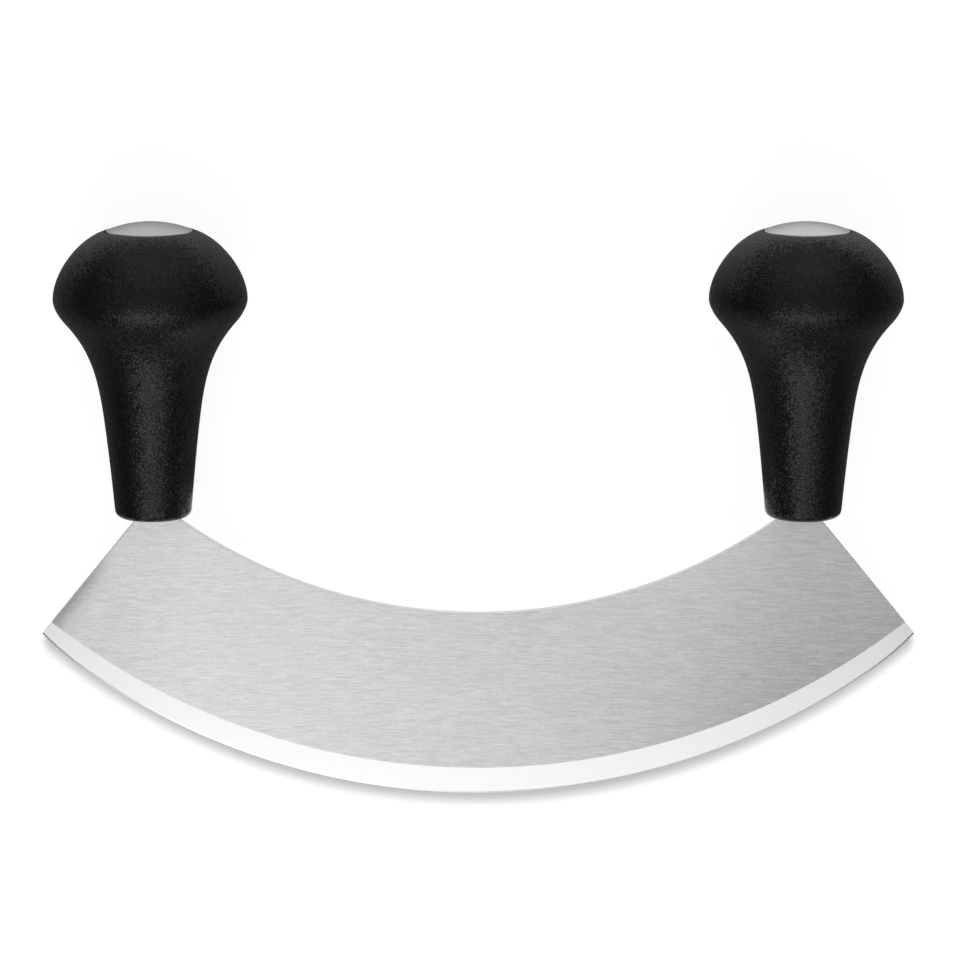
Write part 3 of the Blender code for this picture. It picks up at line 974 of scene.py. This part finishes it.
@dataclass
class Handle(SubAssembly):
    """A turned-looking knob grip on a tang, with a domed cap pressed into its top."""

    side: Side
    lathe: Lathe
    base_fillet: float = 0.0022
    neck: Knot = Knot(0.0101, 0.0022, slope=5, above=0.0087)  # where the fillet of the base ends
    waist: Knot = Knot(0.0129, 0.0286, slope=8, below=0.0076, above=0.0109)
    flare: Knot = Knot(0.0226, 0.0519, slope=42, below=0.0087, above=0.0012)
    bulge: Knot = Knot(0.02535, 0.0576, slope=0, below=0.0022, above=0.0066)
    crown_height: float = 0.07535
    crown_slope: float = -73
    crown_pull: float = 0.0074
    lip_round: float = 0.0003
    recess_depth: float = 0.0011
    counterbore_radius: float = 0.0095
    seat_height: float = 0.033
    groove_depth: float = 0.0006
    cap_radius: float = 0.0112
    cap_rim: float = 0.00075
    cap_rim_round: float = 0.00025
    cap_rise: float = 0.0021
    cap_sheet: float = 0.0009
    skirt_depth: float = 0.0055
    bead_height: float = 0.0014
    bead_reach: float = 0.0005
    roundness: float = 0.9973  # the faceted solid's flats lie at this share of its radius
    turn_steps: int = 160
    curve_steps: int = 18
    round_steps: int = 6

    def build(self, lie: Lie, wardrobe: Wardrobe) -> list[bpy.types.Object]:
        """Makes the grip and its cap.

        Args:
            lie: Where the knife lies.
            wardrobe: The finishes' materials.

        Returns:
            The grip and the cap.
        """
        place = lie.handle(self.side)
        plastic = wardrobe.material(BLACK_PLASTIC)
        grip = self.slotted(self.lathe.turn("grip", self.grip_outline(), self.turn_steps, plastic), lie)
        steel = wardrobe.material(CAP_STEEL)
        cap = self.lathe.turn("cap", self.cap_outline(), self.turn_steps, steel)
        seat = place @ Matrix.Translation((0, 0, self.crown_height - self.recess_depth + FIT_GAP))
        word = self.side.word
        return [
            stand_in(f"{word}_knob_grip", grip, place, f"{word}_grip"),
            stand_in(f"{word}_domed_cap", cap, seat, f"{word}_cap"),
        ]

    def grip_outline(self) -> Outline:
        """Half outline of the grip.

        Returns:
            Points up its skin and down through the counterbore to the seat.
        """
        lip_radius = self.cap_radius + FIT_GAP + self.lip_round
        crown = Knot(lip_radius, self.crown_height, self.crown_slope, self.crown_pull)
        base_centre = self.neck.place - Vector((self.base_fillet, 0))
        lip_centre = crown.place - Vector((0, self.lip_round))
        knots = (self.neck, self.waist, self.flare, self.bulge, crown)
        outwards = Vector((self.base_fillet, 0))
        skin = arc(base_centre, Vector((0, -self.base_fillet)), outwards, self.round_steps)
        for low, high in zip(knots, knots[1:]):
            steps = self.curve_steps * (2 if high is crown else 1)
            skin += bend(low.place, low.pull(low.above), high.place, high.pull(high.below), steps)
        inwards = Vector((-self.lip_round, 0))
        skin += arc(lip_centre, Vector((0, self.lip_round)), inwards, self.round_steps)[1:]
        skin = [Vector((point.x * self.roundness, point.y)) for point in skin]
        return [Vector((0, 0))] + skin + self.counterbore()

    def counterbore(self) -> Outline:
        """Half outline of the counterbore, with the groove that the cap snaps into.

        Returns:
            Points down from the recess to the seat of the washer.
        """
        floor = self.crown_height - self.recess_depth
        groove = floor + FIT_GAP - self.skirt_depth + self.bead_height
        half = self.bead_height / 2 + FIT_GAP
        deep = self.counterbore_radius + self.groove_depth
        points = (
            (self.cap_radius + FIT_GAP, floor),
            (self.counterbore_radius, floor),
            (self.counterbore_radius, groove + half),
            (deep, groove + half - self.groove_depth),
            (deep, groove - half + self.groove_depth),
            (self.counterbore_radius, groove - half),
            (self.counterbore_radius, self.seat_height),
            (0, self.seat_height),
        )
        return [Vector(point) for point in points]

    def cap_outline(self) -> Outline:
        """Half outline of the cap.

        Returns:
            Points down inside its skirt, up outside it, round the rim and over the dome.
        """
        skirt = self.counterbore_radius - FIT_GAP
        inside = skirt - self.cap_sheet
        bead = skirt + self.bead_reach
        half = self.bead_height / 2
        middle = self.bead_height - self.skirt_depth
        rim = self.cap_rim + self.cap_rim_round
        top = rim + self.cap_rise
        under = (
            (0, top - self.cap_sheet),
            (inside / 2, top - self.cap_sheet - self.cap_rise / 4),
            (inside, rim - self.cap_sheet),
            (inside, -self.skirt_depth),
            (skirt, -self.skirt_depth),
            (skirt, middle - half),
            (bead, middle - half + self.bead_reach),
            (bead, middle + half - self.bead_reach),
            (skirt, middle + half),
            (skirt, 0),
            (self.cap_radius, 0),
        )
        edge = self.cap_radius - self.cap_rim_round
        sphere = (edge**2 + self.cap_rise**2) / (2 * self.cap_rise)
        slant = math.asin(edge / sphere)
        corner = Vector((edge, self.cap_rim))
        leave = Vector((self.cap_rim_round, 0))
        arrive = Vector((math.sin(slant), math.cos(slant))) * self.cap_rim_round
        rim_round = arc(corner, leave, arrive, self.round_steps)
        reach = math.asin(rim_round[-1].x / sphere)
        centre = rim_round[-1].y - sphere * math.cos(reach)
        dome = []
        for step in range(1, self.curve_steps + 1):
            angle = reach * (1 - step / self.curve_steps)
            dome.append(Vector((sphere * math.sin(angle), centre + sphere * math.cos(angle))))
        return [Vector(point) for point in under] + rim_round + dome

    def slotted(self, grip: bpy.types.Mesh, lie: Lie) -> bpy.types.Mesh:
        """Cuts the passage of the horn and tang, which closes round the blade at the grip's base.

        Args:
            grip: The turned grip.
            lie: Where the knife lies.

        Returns:
            The grip with its passage.
        """
        blade = Blade()
        half = blade.half_tang + FIT_GAP
        mouth = max(blade.half_tang, lie.grip_axis - blade.spine_reach(lie.base_height)) + FIT_GAP
        junction = blade.spine_point(lie.grip_axis - blade.half_tang).y - lie.base_height
        mouth_top = max(0, junction) + blade.tang_fillet + FIT_GAP
        outline = [
            (half + FIT_GAP, -OVERRUN),
            (half + FIT_GAP, blade.tang_fillet),
            (half, blade.tang_fillet + FIT_GAP),
            (half, self.seat_height + OVERRUN),
            (-half, self.seat_height + OVERRUN),
            (-half, mouth_top),
            (-mouth, mouth_top),
            (-mouth, -OVERRUN),
        ]
        depth = blade.half_plate + FIT_GAP
        mesh = bmesh.new()
        face = mesh.faces.new([mesh.verts.new((x, -depth, z)) for x, z in outline])
        moved = bmesh.ops.extrude_face_region(mesh, geom=[face])["geom"]
        points = [item for item in moved if isinstance(item, bmesh.types.BMVert)]
        bmesh.ops.translate(mesh, verts=points, vec=(0, 2 * depth, 0))
        cutter = bpy.data.objects.new("tang_slot", plain_mesh("tang_slot", mesh))
        blank = bpy.data.objects.new("grip_blank", grip)
        for made in (cutter, blank):
            bpy.context.scene.collection.objects.link(made)
        cut = blank.modifiers.new("tang_slot", "BOOLEAN")
        cut.operation = "DIFFERENCE"
        cut.object = cutter
        data = as_mesh(blank, "grip")
        bpy.data.objects.remove(cutter)
        data.set_sharp_from_angle(angle=CRISP_ANGLE)
        return data


@dataclass
class Fasteners(SubAssembly):
    """Washer, lock washer and nut that hold one grip on its tang, kept as the model has them."""

    side: Side

    def build(self, lie: Lie, wardrobe: Wardrobe) -> list[bpy.types.Object]:
        """Gives the solids their finish.

        Args:
            lie: Where the knife lies; not used.
            wardrobe: The finishes' materials.

        Returns:
            The fasteners.
        """
        pieces = []
        for name in ("washer", "lock_washer", "nut"):
            piece = frame["nodes"][f"{self.side.word}_{name}"]
            piece.data.materials.clear()
            piece.data.materials.append(wardrobe.material(FASTENER_STEEL))
            pieces.append(piece)
        return pieces


@dataclass(frozen=True)
class Softbox:
    """A rectangular lamp that leans over the table from the front or, with a negative lean, from behind."""

    name: str
    aside: float  # along the chord
    lean: float  # degrees from straight above
    width: float
    height: float
    brightness: float  # as a surface: 1 looks white
    distance: float = 1.25

    def build(self) -> None:
        """Hangs up the lamp."""
        data = bpy.data.lights.new(self.name, "AREA")
        data.shape = "RECTANGLE"
        data.size = self.width
        data.size_y = self.height
        data.energy = self.brightness * math.pi * self.width * self.height
        lamp = bpy.data.objects.new(self.name, data)
        lean = math.radians(self.lean)
        lamp.location = (self.aside, -self.distance * math.sin(lean), self.distance * math.cos(lean))
        lamp.rotation_euler.x = lean
        lamp.visible_camera = False
        bpy.context.scene.collection.objects.link(lamp)


class TableChart:
    """Places on the table, told by where the knife lies, as values in the table's material."""

    # Each pair says where something begins to fade and where it has gone
    PAST_BACK = (0.006, 0.011)
    PAST_CUTTING_EDGE = (-0.002, 0.0)  # from 2 mm before it
    PAST_END_CUT = (0.004, 0.008)
    TOWARDS_GRIPS = (0.078, 0.088)  # height in the plane of the knife
    BESIDE_CAP = (0.045, 0.12)  # from the axis of a grip
    BEFORE_CAP_IMAGE = (0.13, 0.06)  # depth on the table
    BEHIND_CAP_IMAGE = (0.18, 0.28)

    def __init__(self, sketch: NodeSketch, lie: Lie) -> None:
        """Measures from the middle of the cutting edge's arc.

        Args:
            sketch: The table's node tree.
            lie: Where the knife lies.
        """
        self.sketch = sketch
        self.blade = Blade()
        self.tip = self.blade.edge_point(1)
        self.grip_axis = lie.grip_axis
        spot = sketch.add("ShaderNodeTexCoord").outputs["Object"]
        place = sketch.add("ShaderNodeSeparateXYZ", {0: spot}).outputs
        self.across = place["X"]
        self.depth = place["Y"]
        self.aside = sketch.math("ABSOLUTE", place["X"])
        foot = lie.matrix.translation.y
        foreshortening = lie.matrix[1][2]
        self.height = sketch.math("DIVIDE", sketch.math("SUBTRACT", place["Y"], foot), foreshortening)
        drop = sketch.math("SUBTRACT", self.height, self.blade.edge_radius)
        square = sketch.math("MULTIPLY_ADD", drop, drop, sketch.math("POWER", self.aside, 2))
        self.beyond_edge = sketch.math("SUBTRACT", sketch.math("SQRT", square), self.blade.edge_radius)

    def edge_shade(self, depth: float, reach: float) -> Socket:
        """Share of light left by a soft shadow painted on the table along the cutting edge.

        Args:
            depth: Share of light that is gone at the edge.
            reach: How far from the edge the shade ends.

        Returns:
            1 away from the edge, and less close to it.
        """
        outside = self.sketch.ramp(self.beyond_edge, 0, reach, depth, 0)
        along = self.sketch.ramp(self.aside, self.tip.x - reach / 4, self.tip.x + reach / 2, 1, 0)
        below = self.sketch.ramp(self.height, self.tip.y - reach / 2, self.tip.y, 1, 0)
        return self.sketch.math("SUBTRACT", 1, self._product(outside, below, along))

    def _fade(self, value: Socket, pair: tuple[float, float], offset: float = 0.0) -> Socket:
        """1 before a pair of places and 0 past it."""
        return self.sketch.ramp(value, offset + pair[0], offset + pair[1], 1, 0)

    def _product(self, *terms: Term) -> Socket:
        """Product of several values."""
        return reduce(partial(self.sketch.math, "MULTIPLY"), terms)

    def by_back_and_ends(self, near: float, far: float) -> Socket:
        """Picks out the strips that the blade's back and end cuts mirror.

        Args:
            near: Value on the strips.
            far: Value elsewhere.

        Returns:
            The value at a place.
        """
        cut = self.blade.end_cut_angle
        from_tip = self.sketch.math("SUBTRACT", self.aside, self.tip.x)
        above_tip = self.sketch.math("SUBTRACT", self.height, self.tip.y)
        outwards = self.sketch.math("MULTIPLY", from_tip, math.cos(cut))
        beyond_cut = self.sketch.math("MULTIPLY_ADD", above_tip, math.sin(cut), outwards)
        beyond_back = self.sketch.math("SUBTRACT", -self.blade.spine_height, self.beyond_edge)
        strip = self._product(
            self._fade(beyond_back, self.PAST_BACK),
            self._fade(self.beyond_edge, self.PAST_CUTTING_EDGE),
            self._fade(beyond_cut, self.PAST_END_CUT),
            self._fade(self.height, self.TOWARDS_GRIPS),
        )
        return self.sketch.math("MULTIPLY_ADD", strip, near - far, far)

    def behind_caps(self, left: float, right: float) -> Socket:
        """Picks out the places that the caps mirror.

        Args:
            left: Value behind the left cap.
            right: Value behind the right cap.

        Returns:
            The value at a place, which fades out round them.
        """
        full = self.sketch.ramp(self.across, -self.grip_axis, self.grip_axis, left, right)
        off_axis = self.sketch.math("ABSOLUTE", self.sketch.math("SUBTRACT", self.aside, self.grip_axis))
        return self._product(
            full,
            self._fade(off_axis, self.BESIDE_CAP),
            self._fade(self.depth, self.BEFORE_CAP_IMAGE),
            self._fade(self.depth, self.BEHIND_CAP_IMAGE),
        )


@dataclass
class Studio:
    """White table, soft lamps and the camera straight above."""

    focal_pixels: float = 4138.5
    picture_pixels: int = 960
    sensor: float = 36.0
    eye: Vector = field(default_factory=lambda: Vector((0.00045, 0.0079, 1.1)))
    floor_reach: float = 6.0
    floor_drop: float = 0.00002  # the table lies this much under the knife
    floor_white: float = 0.3  # what the table throws back of the lamps' light
    floor_glow: float = 0.9  # the table's own light, as the camera sees it
    mirrored_glow: float = 0.0  # as steel and plastic mirror it in general
    blade_glow: float = 0.8  # as the blade's back and end cuts mirror it
    left_cap_glow: float = 0.48
    right_cap_glow: float = 0.62
    shade_depth: float = 0.48  # share of light that the painted shadow takes at the cutting edge
    shade_reach: float = 0.0046
    horizon: float = 0.03
    zenith: float = 0.4
    lamps: tuple[Softbox, ...] = (
        Softbox("left_key_lamp", aside=-0.3, lean=57, width=0.6, height=0.66, brightness=2.0),
        Softbox("left_top_lamp", aside=-0.23, lean=27, width=0.56, height=0.68, brightness=0.98),
        Softbox("right_lamp", aside=0.38, lean=49, width=0.64, height=0.96, brightness=0.75),
        Softbox("rear_lamp", aside=0, lean=-65, width=1.8, height=0.9, brightness=0.5),
    )

    def build(self, lie: Lie) -> None:
        """Sets up the camera, the table, the lamps and the surroundings.

        Args:
            lie: Where the knife lies.
        """
        self.add_camera()
        self.add_floor(lie)
        self.add_sky()
        for lamp in self.lamps:
            lamp.build()

    def add_camera(self) -> None:
        """Looks straight down on the table with the grips at the top of the picture."""
        data = bpy.data.cameras.new("camera")
        data.sensor_width = self.sensor
        data.lens = self.focal_pixels / self.picture_pixels * self.sensor
        camera = bpy.data.objects.new("camera", data)
        camera.location = self.eye
        bpy.context.scene.collection.objects.link(camera)
        bpy.context.scene.camera = camera

    def add_floor(self, lie: Lie) -> None:
        """Lays the white table, which keeps the shadow of the knife and has a soft shadow painted along the
        cutting edge.

        Args:
            lie: Where the knife lies.
        """
        mesh = bmesh.new()
        bmesh.ops.create_grid(mesh, x_segments=1, y_segments=1, size=self.floor_reach)
        floor = bpy.data.objects.new("table", plain_mesh("table", mesh))
        floor.location.z = -self.floor_drop
        bpy.context.scene.collection.objects.link(floor)
        material = bpy.data.materials.new("white_table")
        material.use_nodes = True
        sketch = NodeSketch(material.node_tree)
        chart = TableChart(sketch, lie)
        # a soft shadow painted on the table along the cutting edge darkens both its colour and its glow
        painted_shadow_share = chart.edge_shade(self.shade_depth, self.shade_reach)
        white = sketch.vector_math("MULTIPLY", (self.floor_white,) * 3, painted_shadow_share)
        matt = sketch.add("ShaderNodeBsdfDiffuse", {"Color": white})
        path = sketch.add("ShaderNodeLightPath").outputs
        seen = sketch.math("MULTIPLY", path["Is Camera Ray"], self.floor_glow)
        mirrored = sketch.math("MAXIMUM", path["Is Glossy Ray"], path["Is Transmission Ray"])
        image = chart.by_back_and_ends(self.blade_glow, self.mirrored_glow)
        image = sketch.math("ADD", image, chart.behind_caps(self.left_cap_glow, self.right_cap_glow))
        strength = sketch.math("MULTIPLY", sketch.math("MULTIPLY_ADD", mirrored, image, seen), painted_shadow_share)
        glow = sketch.add("ShaderNodeEmission", {"Strength": strength})
        both = sketch.add("ShaderNodeAddShader", {0: matt.outputs[0], 1: glow.outputs[0]})
        sketch.add("ShaderNodeOutputMaterial", {"Surface": both.outputs[0]})
        floor.data.materials.append(material)

    def add_sky(self) -> None:
        """Surrounds the table with light that grows from the horizon to the zenith."""
        world = bpy.data.worlds.new("surroundings")
        world.use_nodes = True
        sketch = NodeSketch(world.node_tree)
        ray = sketch.add("ShaderNodeTexCoord").outputs["Generated"]
        height = sketch.add("ShaderNodeSeparateXYZ", {0: ray}).outputs["Z"]
        strength = sketch.ramp(height, 0, 1, self.horizon, self.zenith)
        sky = sketch.add("ShaderNodeBackground", {"Strength": strength})
        sketch.add("ShaderNodeOutputWorld", {"Surface": sky.outputs[0]})
        bpy.context.scene.world = world


def main() -> None:
    """Builds the knife and the studio and reports each piece."""
    logging.basicConfig(level=logging.INFO, format="%(message)s")
    bpy.context.scene.view_settings.view_transform = "Standard"
    lie = Lie.of_model(frame["nodes"])
    wardrobe = Wardrobe(lie)
    lathe = Lathe()
    parts: list[SubAssembly] = [Blade()]
    for side in Side:
        parts += [Handle(side, lathe), Fasteners(side)]
    for part in parts:
        for piece in part.build(lie, wardrobe):
            LOG.info("%s: %d faces", piece.name, len(piece.data.polygons))
    Studio().build(lie)


if __name__ == "__main__":
    main()
